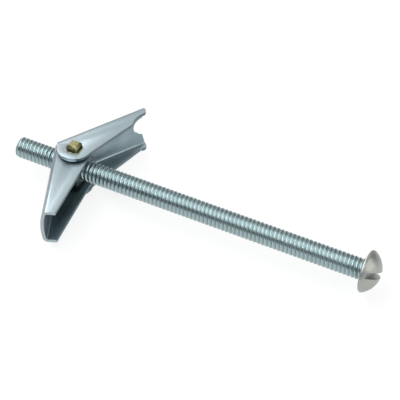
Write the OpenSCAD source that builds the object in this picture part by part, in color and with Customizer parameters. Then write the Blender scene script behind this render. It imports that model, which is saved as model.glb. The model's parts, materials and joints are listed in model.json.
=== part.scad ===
// Spring toggle bolt for hollow walls: a slotted round-head machine screw, a trunnion nut on its
// thread, and two sprung wings that fold along the screw and open behind the wall.
// Millimetres. The screw lies along X with its head towards +X, and the origin is the centre of
// the head's underside. The wings turn about an upright axis through the nut.

/* [Screw] */
// Diameter over the thread
screw_d = 6.35; // [5.6:0.05:7.7]
// Length from under the head to the tail
screw_len = 112.6; // [76:0.1:152]
// Distance from one thread to the next
thread_pitch = 1.27; // [0.8:0.01:1.6]
// Length of screw that stands out behind the wings' pivot
tail_out = 19.1; // [12:0.1:30]

/* [Head] */
// Diameter of the head at its rim
head_d = 12.5; // [10:0.1:16]
// Height of the head's straight rim
rim_h = 0.6; // [0.3:0.1:1]
// Height of the domed head, rim and all
head_h = 4.4; // [3.4:0.1:5]
// Width of the driver slot
slot_w = 1.9; // [1:0.1:2.4]
// Depth of the driver slot at the middle of the dome
slot_depth = 2.8; // [1.2:0.1:3.2]
// Turn of the slot about the screw, from level
slot_turn = -33; // [-90:1:90]

/* [Trunnion nut] */
// Radial clearance between the screw and the nut
thread_gap = 0.05; // [0.01:0.01:0.1]
// Thickness of the nut along the screw
nut_t = 6.0; // [4.5:0.1:6.4]
// Metal left between the thread and the nut's lower face
nut_floor = 0.6; // [0.4:0.05:1]
// Metal left beside the thread, at the middle of the nut
nut_wall = 1.5; // [1.4:0.1:1.6]
// Diameter of the round pins that the wings turn on
pin_d = 4.74; // [4:0.02:5.4]
// Width across the square end of each pin
pin_end_w = 3.3; // [2.6:0.1:3.6]
// How far each pin's square end stands out of the outer wing
pin_out = 1.6; // [0.8:0.1:2.4]
// Bevel on the pin's square end
pin_bevel = 0.5; // [0.2:0.05:0.8]
// How far the round part of each pin stops inside the outer wing's face
pin_sink = 0.7; // [0.2:0.05:0.8]

/* [Wings] */
// Thickness of the sheet
sheet = 1.0; // [0.8:0.05:1.2]
// Radial clearance between a pin and its holes
pin_gap = 0.08; // [0.02:0.01:0.1]
// Clearance between the nut's top face and the inner wing
nut_gap = 0.15; // [0.1:0.05:0.3]
// Clearance between the inner wing's ears and the outer wing's
ear_gap = 0.5; // [0.3:0.05:0.7]
// Radius of the round ears
ear_r = 5.1; // [4.6:0.1:5.6]
// How far each ear's corner reaches behind the pivot
ear_back = 2.75; // [2:0.05:3.5]
// Outside radius of the folds
fold_r = 1.6; // [1.3:0.1:2.2]
// Radius of the arched web, outside
arch_r = 22; // [16:1:40]
// Length of the outer wing, from the pivot to its prongs' ends
outer_len = 26.6; // [22:0.1:34]
// Length of the inner wing, from the pivot
inner_len = 26.4; // [22:0.1:34]
// Depth of the outer wing, from the pivot to the outside of its web
outer_depth = 6.4; // [6.3:0.1:7.4]
// Depth of the inner wing, from the pivot to the outside of its web
inner_depth = 6.7; // [6.3:0.1:7.4]
// Angle between the head's end of the screw and the open outer wing
outer_open = 59.6; // [50:0.1:75]
// Angle between the head's end of the screw and the open inner wing
inner_open = 67.5; // [50:0.1:75]
// Distance from the pivot to the line of a flange's free edge
edge_off = 4.88; // [4.4:0.02:5]
// Slope of the outer wing's upper free edge
outer_taper = 14.2; // [8:0.1:16]
// Distance from the pivot to the line of the outer wing's lower free edge
low_edge_off = 4.4; // [4:0.05:4.9]
// Slope of the outer wing's lower free edge
low_taper = 17.1; // [10:0.1:18]
// Slope of the inner wing's free edges
inner_taper = 15.3; // [10:0.1:18]
// Width of the prongs at the outer wing's end
prong_w = 3.1; // [2:0.1:3.6]
// Radius of the sweep that narrows the upper flange to its prong
sweep_r = 7.1; // [5:0.1:9]
// Radius of the half-round notch in the end of the outer wing's web
notch_r = 3.3; // [2.4:0.1:4]
// Clearance between the open wings' webs and the screw that stops them
stop_gap = 0.1; // [0.05:0.05:0.3]

/* [Spring] */
// Diameter of the spring wire
wire_d = 0.45; // [0.3:0.01:0.46]
// Clearance round the spring's coil
coil_gap = 0.06; // [0.03:0.01:0.08]
// Room between the turns of the coil
turn_gap = 0.02; // [0.01:0.01:0.1]
// Length of each leg of the spring
leg_len = 9.5; // [6:0.1:12]
// Angle by which each leg leans out to its wing's web
leg_lean = 12; // [8:0.5:13]

/* [Hidden] */
$fn = 96;

ZINC = [0.74, 0.79, 0.81];
STEEL_HEAD = [0.62, 0.62, 0.59];
BRASS = [0.78, 0.76, 0.55];
WIRE = [0.45, 0.48, 0.48];

// Small length that carries a cut past a face
over = 1;
// Depth of a 60 degree thread for a pitch of one
UNIT_DEPTH = 0.6134;
// Depth of the thread, which sets the bevel at the screw's tail
thread_depth = UNIT_DEPTH * thread_pitch;
screw_r = screw_d / 2;
bore_r = screw_r + thread_gap;
pivot_x = tail_out - screw_len;
dome_h = head_h - rim_h;
dome_r = (head_d * head_d / 4 + dome_h * dome_h) / (2 * dome_h);

nut_r = bore_r + nut_wall;
nut_low = bore_r + nut_floor;
pin_r = pin_d / 2;
hole_r = pin_r + pin_gap;
coil_pitch = wire_d + turn_gap;
coil_r = pin_r + 2 * coil_gap + wire_d / 2;
// Angles on the coil at which the two legs leave it, one full turn and a little more apart
coil_start = outer_open + leg_lean + 90;
coil_end = -inner_open - leg_lean - 90 + 720;
coil_rise = coil_pitch * (coil_end - coil_start) / 360;
coil_top = -nut_low - coil_gap - wire_d / 2;
inner_clear = nut_low + 2 * coil_gap + wire_d + coil_rise;

// Half heights of the two wings, outside
inner_h = inner_clear + sheet;
outer_h = inner_h + ear_gap + sheet;
nut_top = inner_clear - nut_gap;
pin_top = outer_h - pin_sink;
// Length that reaches from the pivot past any edge of a wing's section
past = 3 * max(outer_depth, inner_depth);

// Where an open wing's web starts, so that its edge meets the side of the screw
function web_start(depth, open) = (screw_r + stop_gap - (depth - sheet) * cos(open)) / sin(open);

// Centre of a fold's curve, on a section whose web arches between two folds
function fold_at(depth, h) =
    arch_r - depth - sqrt(pow(arch_r - fold_r, 2) - pow(h - fold_r, 2));

// Outside of the folds, across the wing
function fold_side(depth, h) = fold_at(depth, h) - fold_r;

// Point on the round ear that a straight edge from a corner just touches
function touch(p) =
    let (a = atan2(p.y, p.x) - acos(ear_r / norm(p)))
    [ear_r * cos(a), ear_r * sin(a)];

// Point at a distance along a line that slopes towards the web and passes the pivot at off
function along(off, slope, s) =
    [off * sin(slope) + s * cos(slope), off * cos(slope) - s * sin(slope)];

// Section of a wing across its length, filled: the free edges towards +X, the web towards -X
module section(depth, h, inset) {
    c = [fold_at(depth, h), h - fold_r];
    m = [arch_r - depth, 0];
    translate([c.x, inset - h]) square([past, 2 * (h - inset)]);
    for (side = [-1, 1]) translate([c.x, side * c.y]) circle(fold_r - inset);
    intersection() {
        translate(m) circle(arch_r - inset);
        polygon([m, [2 * c.x - m.x, 2 * c.y], [2 * c.x - m.x, -2 * c.y]]);
    }
}

// Channel bent from sheet, along X
module channel(depth, h, length) {
    translate([-length, 0, 0]) rotate([90, 0, 90]) linear_extrude(2 * length) difference() {
        section(depth, h, 0);
        section(depth, h, sheet);
    }
}

// Plan of a flange: round ear, corner behind the pivot, and free edge sloping to the end
module flange_plan(depth, h, length, off, slope) {
    corner = [-ear_back, fold_side(depth, h)];
    run = (length - off * sin(slope)) / cos(slope);
    circle(ear_r);
    polygon([[length, -past], [corner.x, -past], corner, touch(corner), [0, 0],
        along(off, slope, 0), along(off, slope, run)]);
}

// Plan of the outer wing's flanges, which narrow to rounded prongs at their ends
module prong_plan(off, slope, sweep) {
    base = fold_side(outer_depth, outer_h);
    end_r = prong_w / 2;
    end_x = outer_len - end_r;
    difference() {
        flange_plan(outer_depth, outer_h, end_x, off, slope);
        if (sweep) translate([end_x, base + prong_w + sweep_r]) circle(sweep_r);
    }
    translate([end_x, base + end_r]) circle(end_r);
}

// A wing about its pivot, its length along X and its web on the -Y side
module wing(depth, h, open, length) {
    start = web_start(depth, open);
    difference() {
        intersection() {
            channel(depth, h, length + over);
            union() {
                linear_extrude(h + over) children(0);
                mirror([0, 0, 1]) linear_extrude(h + over) children(1);
            }
        }
        // Behind its start the web is cut away, which leaves the two ears
        translate([start - past, -past, sheet - h]) cube([past, 2 * past, 2 * (h - sheet)]);
        translate([0, 0, -h - over]) cylinder(r = hole_r, h = 2 * (h + over));
    }
}

// One piece of sheet, on the left of the nut seen from the tail
module outer_wing() {
    relief_r = ear_r + ear_gap / 2;
    relief_low = inner_h - sheet - ear_gap / 2;
    relief_h = outer_h - sheet - relief_low;
    color(ZINC) translate([pivot_x, 0, 0]) rotate([0, 0, outer_open]) mirror([0, 1, 0])
        difference() {
            wing(outer_depth, outer_h, outer_open, outer_len) {
                prong_plan(edge_off, outer_taper, true);
                prong_plan(low_edge_off, low_taper, false);
            }
            // Corners of the web are relieved for the inner wing's ears
            for (side = [0, 1])
                mirror([0, 0, side]) translate([0, 0, relief_low]) cylinder(r = relief_r, h = relief_h);
            // Half-round notch in the end of the web
            translate([outer_len, -outer_depth - over, 0]) rotate([-90, 0, 0])
                cylinder(r = notch_r, h = outer_depth);
        }
}

// The second wing, whose ears sit inside the outer wing's
module inner_wing() {
    color(ZINC) translate([pivot_x, 0, 0]) rotate([0, 0, -inner_open])
        wing(inner_depth, inner_h, inner_open, inner_len) {
            flange_plan(inner_depth, inner_h, inner_len, edge_off, inner_taper);
            flange_plan(inner_depth, inner_h, inner_len, edge_off, inner_taper);
        }
}

module screw() {
    color(ZINC) rotate([0, 90, 0]) {
        translate([0, 0, thread_depth - screw_len])
            cylinder(r = screw_r, h = screw_len - thread_depth);
        translate([0, 0, -screw_len])
            cylinder(r1 = screw_r - thread_depth, r2 = screw_r, h = thread_depth);
    }
    color(STEEL_HEAD) rotate([0, 90, 0]) difference() {
        intersection() {
            translate([0, 0, head_h - dome_r]) sphere(dome_r);
            cylinder(r = head_d / 2, h = head_h + over);
        }
        rotate([0, 0, 90 + slot_turn]) translate([-head_d, -slot_w / 2, head_h - slot_depth])
            cube([2 * head_d, slot_w, slot_depth + over]);
    }
}

// Square end of a pin, milled on the round bar and bevelled round its top
module pin_end(h) {
    w = pin_end_w / 2;
    side = [[-w, 0], [w, 0], [w, h - pin_bevel], [w - pin_bevel, h], [pin_bevel - w, h],
        [-w, h - pin_bevel]];
    intersection() {
        rotate([90, 0, 0]) linear_extrude(pin_end_w, center = true) polygon(side);
        rotate([90, 0, 90]) linear_extrude(pin_end_w, center = true) polygon(side);
        cylinder(r = pin_r, h = h);
    }
}

module trunnion_nut() {
    reach = outer_h + pin_out;
    color(BRASS) translate([pivot_x, 0, 0]) difference() {
        union() {
            intersection() {
                translate([0, 0, -nut_low]) cylinder(r = nut_r, h = nut_low + nut_top);
                cube([nut_t, 4 * nut_r, 4 * nut_top], center = true);
            }
            translate([0, 0, -pin_top]) cylinder(r = pin_r, h = 2 * pin_top);
            for (side = [0, 1]) mirror([0, 0, side]) pin_end(reach);
        }
        rotate([0, 90, 0]) cylinder(r = bore_r, h = 2 * nut_t, center = true);
    }
}

// Centre line of the spring: outer wing's leg, coil round the lower pin, inner wing's leg
COIL_STEPS = 30;
WIRE_SIDES = 10;
coil_turn = coil_end - coil_start;
function coil_point(a) =
    [coil_r * cos(a), coil_r * sin(a), coil_top - coil_rise * (a - coil_start) / coil_turn];
function heading(a) = [cos(a), sin(a), 0];
spring_line = concat(
    [coil_point(coil_start) + leg_len * heading(coil_start - 90)],
    [for (i = [0:COIL_STEPS]) coil_point(coil_start + coil_turn * i / COIL_STEPS)],
    [coil_point(coil_end) + leg_len * heading(coil_end + 90)]);

// Level direction across a line at one of its points
function across(line, i) =
    let (d = line[min(i + 1, len(line) - 1)] - line[max(i - 1, 0)])
    [-d.y, d.x, 0] / norm([d.x, d.y]);

module wire(line, d, sides) {
    rings = len(line);
    points = [for (i = [0:rings - 1], k = [0:sides - 1])
        line[i] + d / 2 * (cos(360 * k / sides) * across(line, i) + [0, 0, sin(360 * k / sides)])];
    walls = [for (i = [0:rings - 2], k = [0:sides - 1]) let (low = i * sides, next = (k + 1) % sides)
        [low + k, low + sides + k, low + sides + next, low + next]];
    first = [for (k = [0:sides - 1]) k];
    last = [for (k = [sides - 1:-1:0]) (rings - 1) * sides + k];
    polyhedron(points, concat([first, last], walls), convexity = 6);
}

module torsion_spring() {
    color(WIRE) translate([pivot_x, 0, 0]) wire(spring_line, wire_d, WIRE_SIDES);
}

screw();
trunnion_nut();
outer_wing();
inner_wing();
torsion_spring();
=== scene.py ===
"""Spring toggle bolt: the visual model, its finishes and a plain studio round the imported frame.

The screw gets its rolled thread and slotted head, the pressed wings and the turned nut get broken
edges, and the spring is wound from wire, with a leg that follows each wing.
"""

import json
import math

import bpy
from mathutils import Matrix, Vector


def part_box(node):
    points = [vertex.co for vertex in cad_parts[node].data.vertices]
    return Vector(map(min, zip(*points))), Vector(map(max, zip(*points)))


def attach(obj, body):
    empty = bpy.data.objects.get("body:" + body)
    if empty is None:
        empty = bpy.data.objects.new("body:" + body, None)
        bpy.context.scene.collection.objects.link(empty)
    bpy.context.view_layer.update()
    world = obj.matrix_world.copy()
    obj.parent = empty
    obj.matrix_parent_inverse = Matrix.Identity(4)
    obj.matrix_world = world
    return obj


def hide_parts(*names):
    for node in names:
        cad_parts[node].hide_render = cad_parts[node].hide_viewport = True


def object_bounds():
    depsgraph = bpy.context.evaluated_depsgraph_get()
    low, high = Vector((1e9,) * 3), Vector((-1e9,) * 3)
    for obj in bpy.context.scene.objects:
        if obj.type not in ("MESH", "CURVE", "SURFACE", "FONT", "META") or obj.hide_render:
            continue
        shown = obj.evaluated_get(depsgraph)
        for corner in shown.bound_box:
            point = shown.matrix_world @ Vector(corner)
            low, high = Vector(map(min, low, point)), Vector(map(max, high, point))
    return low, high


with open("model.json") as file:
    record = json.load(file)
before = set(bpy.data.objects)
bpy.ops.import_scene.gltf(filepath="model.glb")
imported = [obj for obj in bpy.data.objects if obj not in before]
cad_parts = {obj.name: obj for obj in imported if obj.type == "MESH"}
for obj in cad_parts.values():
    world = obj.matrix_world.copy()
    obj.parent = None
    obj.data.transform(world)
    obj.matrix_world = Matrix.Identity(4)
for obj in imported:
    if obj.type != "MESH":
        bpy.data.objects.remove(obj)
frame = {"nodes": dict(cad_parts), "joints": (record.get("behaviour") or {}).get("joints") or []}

CAD_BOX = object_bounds()

bl_info = {
    "name": "Spring Toggle Bolt",
    "version": (1, 0, 0),
    "blender": (4, 5, 0),
    "location": "View3D > Sidebar > Toggle Bolt",
    "description": "Models a spring toggle bolt round its packed frame",
    "category": "Add Mesh",
}

MM = 0.001
FULL_TURN = 2 * math.pi
# Distance under which two points are the same one
WELD = 0.0005 * MM
# Faces that meet at less than this many degrees are shaded as one smooth surface
SMOOTH_THREAD = 40
SMOOTH_WIRE = 50
# Faces that meet at less than this many degrees are one flat face
FLAT = 0.5

PIVOT = Vector(next(j["pos_m"] for j in frame["joints"] if j["name"] == "outer_wing_fold"))
TAIL_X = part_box("screw")[0][0]
HEAD_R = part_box("screw")[1][1]


def colour(code):
    """Linear colour of an sRGB hex code such as #A0B0C0."""
    shares = [int(code[i:i + 2], 16) / 255 for i in (1, 3, 5)]
    return [s / 12.92 if s <= 0.04045 else ((s + 0.055) / 1.055) ** 2.4 for s in shares]


def length(name, description, millimetres):
    """A size that is given in millimetres and kept in metres."""
    return bpy.props.FloatProperty(
        name=name, description=description, default=millimetres * MM, unit="LENGTH", precision=5)


def angle(name, description, degrees):
    """An angle that is given in degrees."""
    return bpy.props.FloatProperty(
        name=name, description=description, default=math.radians(degrees), subtype="ANGLE")


def tint(name, description, code):
    """A colour that is given as an sRGB hex code."""
    return bpy.props.FloatVectorProperty(
        name=name, description=description, default=colour(code), subtype="COLOR", min=0, max=1)


class BoltSizes(bpy.types.PropertyGroup):
    thread_d: length("Thread diameter", "Diameter over the thread's crests", 6.35)
    pitch: length("Thread pitch", "Distance from one thread to the next", 1.27)
    thread_depth: length("Thread depth", "Height of the thread from root to crest", 0.34)
    tail_round: length("Tail rounding", "Length over which the screw's tail is rounded", 1.3)
    head_h: length("Head height", "Height of the domed head, rim and all", 4.4)
    rim_h: length("Rim height", "Height of the head's straight rim", 0.6)
    rim_round: length("Rim rounding", "Width of the rounding on the head's rim", 0.28)
    slot_w: length("Slot width", "Width of the driver slot", 1.9)
    slot_depth: length("Slot depth", "Depth of the slot at the middle of the dome", 2.8)
    slot_turn: angle("Slot turn", "Turn of the slot about the screw, from level", -33)
    head_round: length("Head edge", "Largest radius on the edges of the slot", 0.14)
    sheet: length("Sheet", "Thickness of the wings' sheet", 1.0)
    sheet_round: length("Sheet edge", "Largest radius on the sheared edges of the wings", 0.14)
    nut_round: length("Nut edge", "Largest radius on the nut's edges", 0.07)
    wire_d: length("Wire diameter", "Diameter of the spring's wire", 0.45)
    coil_r: length("Coil radius", "Radius of the spring's coil at the middle of its wire", 2.715)
    coil_top: length("Coil top", "Distance from the screw's axis down to the coil's first turn", 4.11)
    coil_pitch: length("Coil pitch", "Drop of the coil in one turn", 0.47)
    leg: length("Leg length", "Length of each straight leg of the spring", 9.5)
    coil_start: angle("Coil start", "Angle on the coil where the outer wing's leg leaves it", 161.6)
    coil_end: angle("Coil end", "Angle on the coil where the inner wing's leg leaves it", 550.5)


class BoltColours(bpy.types.PropertyGroup):
    zinc: tint("Zinc", "Clear zinc plate", "#A6B2B6")
    zinc_blue: tint("Blue passivate", "Where the passivate over the zinc is thicker", "#9CAEB2")
    zinc_lilac: tint("Lilac passivate", "Where the passivate over the zinc is thinner", "#A6ACB2")
    # Painted shade: the zinc drawn darker inside the channels, where shade falls; it also gives the
    # lighter tears on the shear-cut edges
    recess_shade: tint("Recess", "Thin, dull plate inside the channels", "#82929A")
    # Bare shear-cut steel, darkened also as painted shade for the shadow line along the flanges' free
    # edges
    sheared: tint("Sheared edge", "Bare, dull edges of the sheet", "#4E585A")
    thread_crest: tint("Thread crest", "Burnished crests of the rolled thread", "#9EB0B2")
    # The roots' colour is darker as painted shade in the thread's creases
    thread_root_shade: tint("Thread root", "Dull plate in the roots of the thread", "#8A9EA0")
    head: tint("Head", "Plate on the forged head", "#A8A8A2")
    brass: tint("Nut", "Yellow plate on the pins", "#B4B08A")
    brass_dark: tint("Nut shade", "Thicker yellow plate on the pins", "#868052")
    nut_body: tint("Nut body", "Plate on the body of the nut, under the wings", "#8E9490")
    wire: tint("Wire", "Drawn spring wire", "#6A7072")
    floor: tint("Floor", "Plain studio floor", "#707070")
    floor_glow: tint("Floor glow", "Light that comes up through the floor", "#FFFFFF")


# Selecting and modelling

def clear_selection():
    """Leaves edit mode and deselects every object."""
    if bpy.context.mode != "OBJECT":
        bpy.ops.object.mode_set(mode="OBJECT")
    bpy.ops.object.select_all(action="DESELECT")


def pick(piece):
    """Makes the piece the only one selected."""
    clear_selection()
    piece.select_set(True)
    bpy.context.view_layer.objects.active = piece


def edit_all(piece):
    """Opens the piece in edit mode with all of it selected."""
    pick(piece)
    bpy.ops.object.mode_set(mode="EDIT")
    bpy.ops.mesh.select_all(action="SELECT")


def close_up(piece):
    """Merges doubled points and turns every face outwards."""
    edit_all(piece)
    bpy.ops.mesh.remove_doubles(threshold=WELD)
    bpy.ops.mesh.normals_make_consistent(inside=False)
    bpy.ops.object.mode_set(mode="OBJECT")


def settle(piece):
    """Puts the piece's place into its mesh, and its origin at the frame's."""
    pick(piece)
    bpy.ops.object.transform_apply(location=True, rotation=True, scale=True)


def apply_modifier(piece, kind, **settings):
    """Adds a modifier with its settings and applies it."""
    modifier = piece.modifiers.new(kind.title(), kind)
    for key, value in settings.items():
        setattr(modifier, key, value)
    pick(piece)
    bpy.ops.object.modifier_apply(modifier=modifier.name)


def cut(piece, tool, operation):
    """Cuts the piece with a closed tool mesh, which is then deleted."""
    apply_modifier(piece, "BOOLEAN", object=tool, operation=operation, solver="EXACT")
    bpy.data.objects.remove(tool)


def break_edges(piece, width, sharper_than, segments=3):
    """Rounds every edge that turns by more than an angle, and shades the rest smooth.

    No rounding may overlap another, so very short edges keep all of the piece's narrow."""
    apply_modifier(
        piece, "BEVEL", width=width, segments=segments, limit_method="ANGLE",
        angle_limit=math.radians(sharper_than), use_clamp_overlap=True, miter_outer="MITER_ARC")
    pick(piece)
    bpy.ops.object.shade_smooth_by_angle(angle=math.radians(sharper_than))


def drawn_profile(name, points):
    """Draws a line of edges through the points, by extruding one vertex from each to the next."""
    clear_selection()
    bpy.ops.mesh.primitive_plane_add(size=MM, location=points[0])
    profile = bpy.context.object
    profile.name = name
    bpy.ops.object.mode_set(mode="EDIT")
    bpy.ops.mesh.select_all(action="SELECT")
    bpy.ops.mesh.merge(type="CENTER")
    for start, end in zip(points, points[1:]):
        bpy.ops.mesh.extrude_region_move(TRANSFORM_OT_translate={"value": end - start})
    settle(profile)
    return profile


def turned(name, points, steps):
    """Spins a profile about the screw's axis into a closed solid."""
    piece = drawn_profile(name, points)
    edit_all(piece)
    bpy.ops.mesh.spin(steps=steps, angle=FULL_TURN, center=(0, 0, 0), axis=(1, 0, 0))
    close_up(piece)
    return piece


def arc(radius, centre, start, end, steps):
    """Points on an arc in the XY plane, from one angle in degrees to another."""
    turns = [math.radians(start + (end - start) * i / steps) for i in range(steps + 1)]
    return [Vector((centre.x + radius * math.cos(a), centre.y + radius * math.sin(a), 0)) for a in turns]


# The screw

THREAD_STEPS = 48
THREAD_POINTS = 12
HEAD_STEPS = 96
TAIL_STEPS = 6
DOME_STEPS = 24
# Below 1 the crests are fuller than the roots
CREST_FULLNESS = 0.85
# The helix starts this many pitches before the tail and runs on this many past the head's
# underside, so that the turned blank cuts whole turns only
RUN_IN = 2
RUN_OUT = 2
# Room between the blank and the thread's crests
BLANK_ROOM = 0.1 * MM
# Pitches by which the thread's end is hidden inside the head
HIDDEN_END = 0.5


def thread_outline(sizes):
    """One pitch of the rolled thread, from root to root, with rounded root and crest."""
    root = sizes.thread_d / 2 - sizes.thread_depth
    start = TAIL_X - RUN_IN * sizes.pitch
    points = []
    for i in range(THREAD_POINTS + 1):
        share = i / THREAD_POINTS
        rise = (0.5 - 0.5 * math.cos(FULL_TURN * share)) ** CREST_FULLNESS
        points.append(Vector((start + share * sizes.pitch, root + rise * sizes.thread_depth, 0)))
    return points


def make_thread(sizes):
    """Winds the outline into a helix from tail to head, and cuts it to the turned blank."""
    turns = math.ceil(-TAIL_X / sizes.pitch) + RUN_IN + RUN_OUT
    thread = drawn_profile("screw_thread", thread_outline(sizes))
    apply_modifier(
        thread, "SCREW", axis="X", angle=FULL_TURN, screw_offset=sizes.pitch, iterations=turns,
        steps=THREAD_STEPS, render_steps=THREAD_STEPS)
    close_up(thread)
    # Both ends are closed flat, just outside the blank
    for place, side in ((TAIL_X - sizes.pitch / 4, -1), (sizes.pitch, 1)):
        edit_all(thread)
        bpy.ops.mesh.bisect(
            plane_co=(place, 0, 0), plane_no=(side, 0, 0), use_fill=True, clear_outer=True)
    close_up(thread)
    outside = sizes.thread_d / 2 + BLANK_ROOM
    head_end = HIDDEN_END * sizes.pitch
    corner = Vector((TAIL_X + sizes.tail_round, outside - sizes.tail_round, 0))
    profile = [Vector((TAIL_X, 0, 0))] + arc(sizes.tail_round, corner, 180, 90, TAIL_STEPS)
    profile += [Vector((head_end, outside, 0)), Vector((head_end, 0, 0))]
    blank = turned("blank", profile, HEAD_STEPS)
    cut(thread, blank, "INTERSECT")
    pick(thread)
    bpy.ops.object.shade_smooth_by_angle(angle=math.radians(SMOOTH_THREAD))
    return thread


def make_head(sizes):
    """Turns the domed head, saws its slot and rounds its edges."""
    dome_h = sizes.head_h - sizes.rim_h
    dome_r = (HEAD_R ** 2 + dome_h ** 2) / (2 * dome_h)
    centre = Vector((sizes.head_h - dome_r, 0, 0))
    rim = math.degrees(math.asin(HEAD_R / dome_r))
    profile = [Vector((0, 0, 0)), Vector((0, HEAD_R, 0))] + arc(dome_r, centre, rim, 0, DOME_STEPS)
    head = turned("screw_head", profile, HEAD_STEPS)
    break_edges(head, sizes.rim_round, sharper_than=20, segments=4)
    clear_selection()
    floor_x = sizes.head_h - sizes.slot_depth
    bpy.ops.mesh.primitive_cube_add(size=1, location=(floor_x + sizes.head_h / 2, 0, 0))
    saw = bpy.context.object
    saw.dimensions = (sizes.head_h, 3 * HEAD_R, sizes.slot_w)
    saw.rotation_euler = (sizes.slot_turn, 0, 0)
    settle(saw)
    cut(head, saw, "DIFFERENCE")
    close_up(head)
    break_edges(head, sizes.head_round, sharper_than=30)
    return head


# Wings and nut

# A wing's face looks towards the head when its normal has at least this much X
TOWARDS_HEAD = 0.6
# The wings' material slots: the plate, painted shade inside the channel, and the shear-cut edges,
# darkened partly as painted shade
PLATED, SHADED_RECESS, SHEARED_AND_SHADE = range(3)


def from_frame(node, name):
    """Copies a node's mesh into a new piece, with its loose triangles merged into whole faces."""
    piece = bpy.data.objects.new(name, frame["nodes"][node].data.copy())
    bpy.context.scene.collection.objects.link(piece)
    piece.data.materials.clear()
    edit_all(piece)
    bpy.ops.mesh.remove_doubles(threshold=WELD)
    bpy.ops.mesh.customdata_custom_splitnormals_clear()
    bpy.ops.mesh.dissolve_limited(angle_limit=math.radians(FLAT))
    bpy.ops.object.mode_set(mode="OBJECT")
    return piece


def mark_insides(wing, node, sizes):
    """Gives the channel's inside a material slot of painted shade, and its long shear-cut edges one of
    dark bare steel that is partly painted shade.
    """
    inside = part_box(node)[1][2] - sizes.sheet + WELD
    for face in wing.data.polygons:
        # Inner faces look towards the head's end, or towards the level of the screw
        ahead = face.normal.x > TOWARDS_HEAD
        level_ward = face.normal.z * face.center.z < 0
        # The outer wing's lower flange lies open to the light, so its inside gets no painted shade
        open_floor = node == "outer_wing" and face.center.z < 0 < face.normal.z
        # Long free edges get the dark edge colour, partly painted shade; faces inside the channel get
        # painted shade
        if abs(face.center.z) > inside and ahead:
            face.material_index = SHEARED_AND_SHADE
        elif ahead or (level_ward and not open_floor):
            face.material_index = SHADED_RECESS
        else:
            face.material_index = PLATED


# The spring

# The legs are drawn a little thinner than the coil that their trailing arcs hide in
LEG_SLIMNESS = 0.96
# Degrees from one point of the coil to the next
COIL_STEP = 8


def drawn_wire(name, points, diameter):
    """A wire of round section through the points, as a mesh."""
    line = bpy.data.curves.new(name, "CURVE")
    line.dimensions = "3D"
    line.bevel_depth = diameter / 2
    line.bevel_resolution = 4
    line.use_fill_caps = True
    spline = line.splines.new("POLY")
    spline.points.add(len(points) - 1)
    for point, place in zip(spline.points, points):
        point.co = (*place, 1)
    wire = bpy.data.objects.new(name, line)
    bpy.context.scene.collection.objects.link(wire)
    pick(wire)
    bpy.ops.object.convert(target="MESH")
    wire = bpy.context.object
    close_up(wire)
    bpy.ops.object.shade_smooth_by_angle(angle=math.radians(SMOOTH_WIRE))
    return wire


def coil_points(sizes, start, end):
    """Points down the coil from one angle to another."""
    steps = max(2, round(abs(end - start) / math.radians(COIL_STEP)))
    points = []
    for i in range(steps + 1):
        a = start + (end - start) * i / steps
        drop = sizes.coil_top + sizes.coil_pitch * (a - sizes.coil_start) / FULL_TURN
        points.append(PIVOT + Vector((sizes.coil_r * math.cos(a), sizes.coil_r * math.sin(a), -drop)))
    return points


def leg_points(sizes, at, side, trail):
    """A straight leg that leaves the coil at an angle, after a stretch that trails along the coil."""
    run = coil_points(sizes, at - side * trail, at)
    way = Vector((math.sin(at), -math.cos(at), 0)) * -side
    return run + [run[-1] + way * sizes.leg]


# Studio

FLOOR_SIZE = 6.0
FLOOR_GLOW = 0.83
WORLD_HUE = "#E8EEF2"
WORLD_STRENGTH = 0.2
# Name, direction from the bolt, distance, width and height in metres, radiance and hue
SOFTBOXES = (
    ("overhead", (-0.30, -0.22, 0.93), 0.75, (1.3, 0.28), 6.4, "#FAFDFF"),
    ("back", (-0.33, 0.65, 0.68), 1.0, (1.4, 0.9), 0.84, "#FFFFFF"),
    ("left", (-0.95, -0.1, 0.35), 1.0, (0.8, 0.6), 1.0, "#FFFFFF"),
    ("right", (0.85, 0.05, 0.5), 1.0, (1.0, 0.9), 1.7, "#FFFEFA"),
)

# The camera looks down on the bolt from the head's side
CAMERA_AZIMUTH = 26.74
CAMERA_ELEVATION = 43.135
CAMERA_ROLL = 0.652
CAMERA_DISTANCE = 589.0 * MM
# The camera stands this far right of and above the line through the wings' pivot
CAMERA_RIGHT = 36.75 * MM
CAMERA_UP = -9.93 * MM
LENS = 179.8
SENSOR = 36.0


def add_softbox(name, middle, toward, distance, size, radiance, hue):
    """A rectangular area light that faces the bolt, with its long side level."""
    light = bpy.data.lights.new(name + "_softbox", "AREA")
    light.shape = "RECTANGLE"
    light.size, light.size_y = size
    # An evenly lit panel gives pi times its radiance for each square metre
    light.energy = radiance * math.pi * size[0] * size[1]
    light.color = colour(hue)
    lamp = bpy.data.objects.new(light.name, light)
    lamp.location = middle + toward * distance
    lamp.rotation_euler = toward.to_track_quat("Z", "Y").to_euler()
    bpy.context.scene.collection.objects.link(lamp)


def add_camera(scene):
    """The camera, turned about the wings' pivot."""
    az, el, roll = (math.radians(a) for a in (CAMERA_AZIMUTH, CAMERA_ELEVATION, CAMERA_ROLL))
    back = Vector((math.sin(az) * math.cos(el), -math.cos(az) * math.cos(el), math.sin(el)))
    level = Vector((0, 0, 1)).cross(back).normalized()
    upright = back.cross(level)
    right = level * math.cos(roll) + upright * math.sin(roll)
    up = upright * math.cos(roll) - level * math.sin(roll)
    lens = bpy.data.cameras.new("camera")
    lens.lens = LENS
    lens.sensor_width = SENSOR
    camera = bpy.data.objects.new("camera", lens)
    place = Matrix((right, up, back)).transposed().to_4x4()
    place.translation = PIVOT + right * CAMERA_RIGHT + up * CAMERA_UP + back * CAMERA_DISTANCE
    camera.matrix_world = place
    scene.collection.objects.link(camera)
    scene.camera = camera


# Finishes

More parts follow.
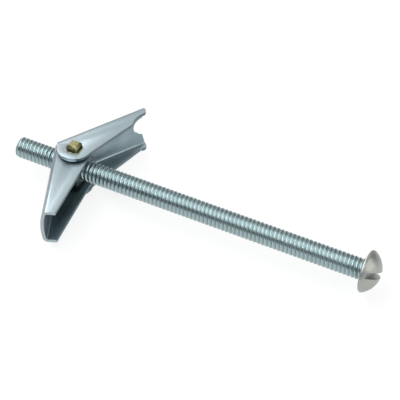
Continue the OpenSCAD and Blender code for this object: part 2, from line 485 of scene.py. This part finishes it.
# Widths in millimetres of the blotches in each finish. Clouds are as wide as the real ones.
SHEET_CLOUDS = 7
LILAC_CLOUDS = 11
RECESS_CLOUDS = 5
HEAD_CLOUDS = 4
NUT_CLOUDS = 1.5
# The rest are really under 0.1 mm wide, which is too fine to show, so they are drawn as coarse as
# they need to be.
PLATING_GRAIN = 0.5
SHEARING_TEARS = 0.4
ROLLING_MARKS = 0.4
FORGING_PITS = 0.6
TOOL_MARKS = 0.35
DRAWING_STREAKS = 0.3
# Nearly all of a blotched pattern's values lie between these
LEAST = 0.3
MOST = 0.7
# Distances from the screw's axis between which the nut's grey turns to the pins' yellow
GREY_TO = 5.5 * MM
YELLOW_FROM = 6.5 * MM
# A colour Mix node's own sockets, which share their names with others
FIRST, SECOND, MIXED = 6, 7, 2


def fill(tree, node, inputs):
    """Gives each of these inputs a value, or a link from another node's output.

    A colour is given without its alpha, which is always 1."""
    for key, value in inputs.items():
        socket = node.inputs[key]
        if isinstance(value, bpy.types.NodeSocket):
            tree.links.new(value, socket)
        else:
            socket.default_value = (*value, 1) if socket.type == "RGBA" else value


def add_node(tree, kind, inputs, **settings):
    """Adds a shader node with its settings, and the values of its inputs or the links into them."""
    node = tree.nodes.new(kind)
    for key, value in settings.items():
        setattr(node, key, value)
    fill(tree, node, inputs)
    return node


def new_finish(name, metallic=1.0, roughness=0.4):
    """A material with one Principled shader, and the shader and its node tree."""
    finish = bpy.data.materials.new(name)
    finish.use_nodes = True
    tree = finish.node_tree
    shader = tree.nodes["Principled BSDF"]
    fill(tree, shader, {"Metallic": metallic, "Roughness": roughness})
    return finish, tree, shader


def blotched(tree, width, stretch=(1, 1, 1), detail=3.0):
    """A pattern on object coordinates, whose blotches are a number of millimetres wide."""
    place = add_node(tree, "ShaderNodeTexCoord", {}).outputs["Object"]
    stretched = add_node(tree, "ShaderNodeMapping", {"Vector": place, "Scale": stretch})
    return add_node(tree, "ShaderNodeTexNoise", {
        "Vector": stretched.outputs["Vector"], "Scale": 1 / (width * MM), "Detail": detail,
    }).outputs["Fac"]


def clouded(tree, plain, cloud, width, densest=1.0, least=LEAST, detail=3.0):
    """A colour with clouds of another over it, which are a number of millimetres wide."""
    share = add_node(tree, "ShaderNodeMapRange", {
        "Value": blotched(tree, width, detail=detail), "From Min": least, "From Max": MOST,
        "To Max": densest})
    return add_node(
        tree, "ShaderNodeMix",
        {"Factor": share.outputs["Result"], FIRST: plain, SECOND: cloud}, data_type="RGBA",
    ).outputs[MIXED]


def grain(tree, shader, pattern, smoothest, roughest, depth):
    """Gives the shader a pattern as roughness, and as relief a number of millimetres deep."""
    roughness = add_node(tree, "ShaderNodeMapRange", {
        "Value": pattern, "From Min": LEAST, "From Max": MOST, "To Min": smoothest,
        "To Max": roughest})
    relief = add_node(tree, "ShaderNodeBump", {"Height": pattern, "Distance": depth * MM})
    fill(tree, shader, {
        "Roughness": roughness.outputs["Result"], "Normal": relief.outputs["Normal"]})


def zinc_plated_sheet(colours):
    """Pressed sheet steel, barrel zinc plated: satin, with soft clouds of blue and lilac."""
    finish, tree, shader = new_finish("zinc_plated_sheet")
    blued = clouded(tree, colours.zinc, colours.zinc_blue, SHEET_CLOUDS)
    fill(tree, shader, {"Base Color": clouded(
        tree, blued, colours.zinc_lilac, LILAC_CLOUDS, densest=0.6, least=0.45, detail=1.0)})
    grain(tree, shader, blotched(tree, PLATING_GRAIN, detail=4.0), 0.3, 0.44, depth=0.012)
    return finish


def shaded_recess(colours):
    """Painted shade inside the pressed channels: the plate drawn darker where shade falls, with the same
    grain.
    """
    finish, tree, shader = new_finish("shaded_recess")
    fill(tree, shader, {"Base Color": clouded(
        tree, colours.recess_shade, colours.zinc_blue, RECESS_CLOUDS, densest=0.5)})
    grain(tree, shader, blotched(tree, PLATING_GRAIN, detail=4.0), 0.3, 0.44, depth=0.012)
    return finish


def sheared_edge_and_shade(colours):
    """Shear-cut edges of the sheet, hardly plated and torn across its thickness, and drawn dark also as
    painted shade, the shadow line along the flanges' free edges.
    """
    finish, tree, shader = new_finish("sheared_steel_and_shade")
    tears = blotched(tree, SHEARING_TEARS, stretch=(1, 1, 0.4))
    base = add_node(
        tree, "ShaderNodeMix",
        {"Factor": tears, FIRST: colours.sheared, SECOND: colours.recess_shade}, data_type="RGBA")
    fill(tree, shader, {"Base Color": base.outputs[MIXED]})
    grain(tree, shader, tears, 0.4, 0.6, depth=0.02)
    return finish


def zinc_plated_thread(colours, sizes):
    """Rolled thread, zinc plated: burnished crests, and roots that are duller and drawn darker as
    painted shade in the thread's creases.
    """
    finish, tree, shader = new_finish("zinc_plated_thread")
    place = add_node(tree, "ShaderNodeTexCoord", {}).outputs["Object"]
    off_axis = add_node(
        tree, "ShaderNodeVectorMath", {0: place, 1: (0, 1, 1)}, operation="MULTIPLY")
    radius = add_node(
        tree, "ShaderNodeVectorMath", {0: off_axis.outputs["Vector"]}, operation="LENGTH")
    crest = sizes.thread_d / 2
    height = add_node(tree, "ShaderNodeMapRange", {
        "Value": radius.outputs["Value"], "From Min": crest - sizes.thread_depth,
        "From Max": crest - sizes.thread_depth / 4}).outputs["Result"]
    # Painted shade: the colour darkens from crest to root, where shade falls in the thread's creases
    base = add_node(
        tree, "ShaderNodeMix",
        {"Factor": height, FIRST: colours.thread_root_shade, SECOND: colours.thread_crest},
        data_type="RGBA")
    roughness = add_node(
        tree, "ShaderNodeMapRange", {"Value": height, "To Min": 0.42, "To Max": 0.24})
    relief = add_node(tree, "ShaderNodeBump", {
        "Height": blotched(tree, ROLLING_MARKS), "Distance": 0.01 * MM})
    fill(tree, shader, {
        "Base Color": base.outputs[MIXED], "Roughness": roughness.outputs["Result"],
        "Normal": relief.outputs["Normal"]})
    return finish


def zinc_plated_head(colours):
    """Forged head, zinc plated: matt and neutral, with fine pits from the die."""
    finish, tree, shader = new_finish("zinc_plated_head")
    fill(tree, shader, {"Base Color": clouded(
        tree, colours.head, colours.zinc, HEAD_CLOUDS, densest=0.35)})
    grain(tree, shader, blotched(tree, FORGING_PITS, detail=4.0), 0.38, 0.52, depth=0.02)
    return finish


def yellow_plated_nut(colours):
    """Turned and milled nut, yellow passivated: olive and gold, with tool marks across the flats."""
    finish, tree, shader = new_finish("yellow_plated_nut")
    place = add_node(tree, "ShaderNodeTexCoord", {}).outputs["Object"]
    height = add_node(tree, "ShaderNodeSeparateXYZ", {"Vector": place}).outputs["Z"]
    distance = add_node(tree, "ShaderNodeMath", {0: height}, operation="ABSOLUTE")
    # The yellow passivate is strongest on the milled pin ends
    on_pin = add_node(tree, "ShaderNodeMapRange", {
        "Value": distance.outputs["Value"], "From Min": GREY_TO, "From Max": YELLOW_FROM})
    pin = clouded(tree, colours.brass, colours.brass_dark, NUT_CLOUDS)
    base = add_node(
        tree, "ShaderNodeMix",
        {"Factor": on_pin.outputs["Result"], FIRST: colours.nut_body, SECOND: pin},
        data_type="RGBA")
    fill(tree, shader, {"Base Color": base.outputs[MIXED]})
    grain(tree, shader, blotched(tree, TOOL_MARKS, stretch=(1, 1, 6)), 0.22, 0.36, depth=0.01)
    return finish


def drawn_wire_steel(colours):
    """Drawn spring steel: dark and smooth, streaked by the die."""
    finish, tree, shader = new_finish("drawn_spring_wire")
    streaks = add_node(tree, "ShaderNodeMapRange", {
        "Value": blotched(tree, DRAWING_STREAKS), "From Min": LEAST, "From Max": MOST,
        "To Min": 0.25, "To Max": 0.4})
    fill(tree, shader, {"Base Color": colours.wire, "Roughness": streaks.outputs["Result"]})
    return finish


def studio_floor(colours):
    """Opal acrylic, lit from below like a light table: even and pale, with hardly a shadow."""
    finish, tree, shader = new_finish("opal_floor", metallic=0.0, roughness=0.9)
    fill(tree, shader, {
        "Base Color": colours.floor, "Emission Color": colours.floor_glow,
        "Emission Strength": FLOOR_GLOW})
    return finish


def hand_over(piece, finish, body, node):
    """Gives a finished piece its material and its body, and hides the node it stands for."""
    piece.data.materials.clear()
    piece.data.materials.append(finish)
    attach(piece, body)
    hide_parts(node)


# Operators

class BOLT_OT_screw(bpy.types.Operator):
    """Model the screw: its rolled thread and its slotted head"""
    bl_idname = "bolt.screw"
    bl_label = "Screw"

    def execute(self, context):
        sizes, colours = context.scene.bolt_sizes, context.scene.bolt_colours
        hand_over(make_thread(sizes), zinc_plated_thread(colours, sizes), "screw", "screw")
        hand_over(make_head(sizes), zinc_plated_head(colours), "screw", "screw")
        return {"FINISHED"}


class BOLT_OT_nut(bpy.types.Operator):
    """Finish the trunnion nut, with its milled pin ends"""
    bl_idname = "bolt.nut"
    bl_label = "Trunnion nut"

    def execute(self, context):
        nut = from_frame("trunnion_nut", "turned_nut")
        break_edges(nut, context.scene.bolt_sizes.nut_round, sharper_than=30, segments=2)
        hand_over(nut, yellow_plated_nut(context.scene.bolt_colours), "nut", "trunnion_nut")
        return {"FINISHED"}


class BOLT_OT_wings(bpy.types.Operator):
    """Finish the two pressed wings"""
    bl_idname = "bolt.wings"
    bl_label = "Wings"

    def execute(self, context):
        sizes, colours = context.scene.bolt_sizes, context.scene.bolt_colours
        # The second material is painted shade inside the channels, the third the dark edges, partly
        # painted shade
        finish, recess_shade, edge = (
            make(colours) for make in (zinc_plated_sheet, shaded_recess, sheared_edge_and_shade))
        for node in ("outer_wing", "inner_wing"):
            wing = from_frame(node, "pressed_" + node)
            break_edges(wing, sizes.sheet_round, sharper_than=35)
            hand_over(wing, finish, node, node)
            wing.data.materials.append(recess_shade)
            wing.data.materials.append(edge)
            mark_insides(wing, node, sizes)
        return {"FINISHED"}


class BOLT_OT_spring(bpy.types.Operator):
    """Wind the torsion spring: its coil, and a leg that follows each wing"""
    bl_idname = "bolt.spring"
    bl_label = "Torsion spring"

    def execute(self, context):
        sizes = context.scene.bolt_sizes
        finish = drawn_wire_steel(context.scene.bolt_colours)
        coil = drawn_wire(
            "spring_coil", coil_points(sizes, sizes.coil_start, sizes.coil_end), sizes.wire_d)
        hand_over(coil, finish, "nut", "torsion_spring")
        # Each leg trails an arc that slides along the coil as its wing folds
        slim = LEG_SLIMNESS * sizes.wire_d
        for name, at, side, joint in (
                ("spring_leg_outer", sizes.coil_start, -1, "outer_wing_fold"),
                ("spring_leg_inner", sizes.coil_end, 1, "inner_wing_fold")):
            fold = next(j for j in frame["joints"] if j["name"] == joint)
            trail = math.radians(max(abs(d) for d in fold["range_deg"]))
            leg = drawn_wire(name, leg_points(sizes, at, side, trail), slim)
            hand_over(leg, finish, fold["child"], "torsion_spring")
        return {"FINISHED"}


class BOLT_OT_stage(bpy.types.Operator):
    """Set the floor, the lights and the camera"""
    bl_idname = "bolt.stage"
    bl_label = "Studio"

    def execute(self, context):
        scene = context.scene
        clear_selection()
        bpy.ops.mesh.primitive_plane_add(size=FLOOR_SIZE, location=(0, 0, CAD_BOX[0][2]))
        floor = context.object
        floor.name = "studio_floor"
        settle(floor)
        floor.data.materials.append(studio_floor(scene.bolt_colours))
        middle = (Vector(CAD_BOX[0]) + Vector(CAD_BOX[1])) / 2
        for name, toward, distance, size, radiance, hue in SOFTBOXES:
            add_softbox(name, middle, Vector(toward).normalized(), distance, size, radiance, hue)
        world = bpy.data.worlds.new("studio")
        world.use_nodes = True
        fill(world.node_tree, world.node_tree.nodes["Background"], {
            "Color": colour(WORLD_HUE), "Strength": WORLD_STRENGTH})
        scene.world = world
        add_camera(scene)
        return {"FINISHED"}


class BOLT_PT_panel(bpy.types.Panel):
    """Lists the bolt's pieces and the studio"""
    bl_idname = "BOLT_PT_panel"
    bl_label = "Spring Toggle Bolt"
    bl_space_type = "VIEW_3D"
    bl_region_type = "UI"
    bl_category = "Toggle Bolt"

    def draw(self, context):
        for operator in OPERATORS:
            self.layout.operator(operator.bl_idname)


OPERATORS = (BOLT_OT_screw, BOLT_OT_nut, BOLT_OT_wings, BOLT_OT_spring, BOLT_OT_stage)
CLASSES = (BoltSizes, BoltColours, *OPERATORS, BOLT_PT_panel)


def register():
    for cls in CLASSES:
        bpy.utils.register_class(cls)
    bpy.types.Scene.bolt_sizes = bpy.props.PointerProperty(type=BoltSizes)
    bpy.types.Scene.bolt_colours = bpy.props.PointerProperty(type=BoltColours)


def unregister():
    del bpy.types.Scene.bolt_colours
    del bpy.types.Scene.bolt_sizes
    for cls in reversed(CLASSES):
        bpy.utils.unregister_class(cls)


def main():
    register()
    bpy.context.scene.view_settings.view_transform = "Standard"
    for operator in OPERATORS:
        group, name = operator.bl_idname.split(".")
        getattr(getattr(bpy.ops, group), name)()


if __name__ == "__main__":
    main()
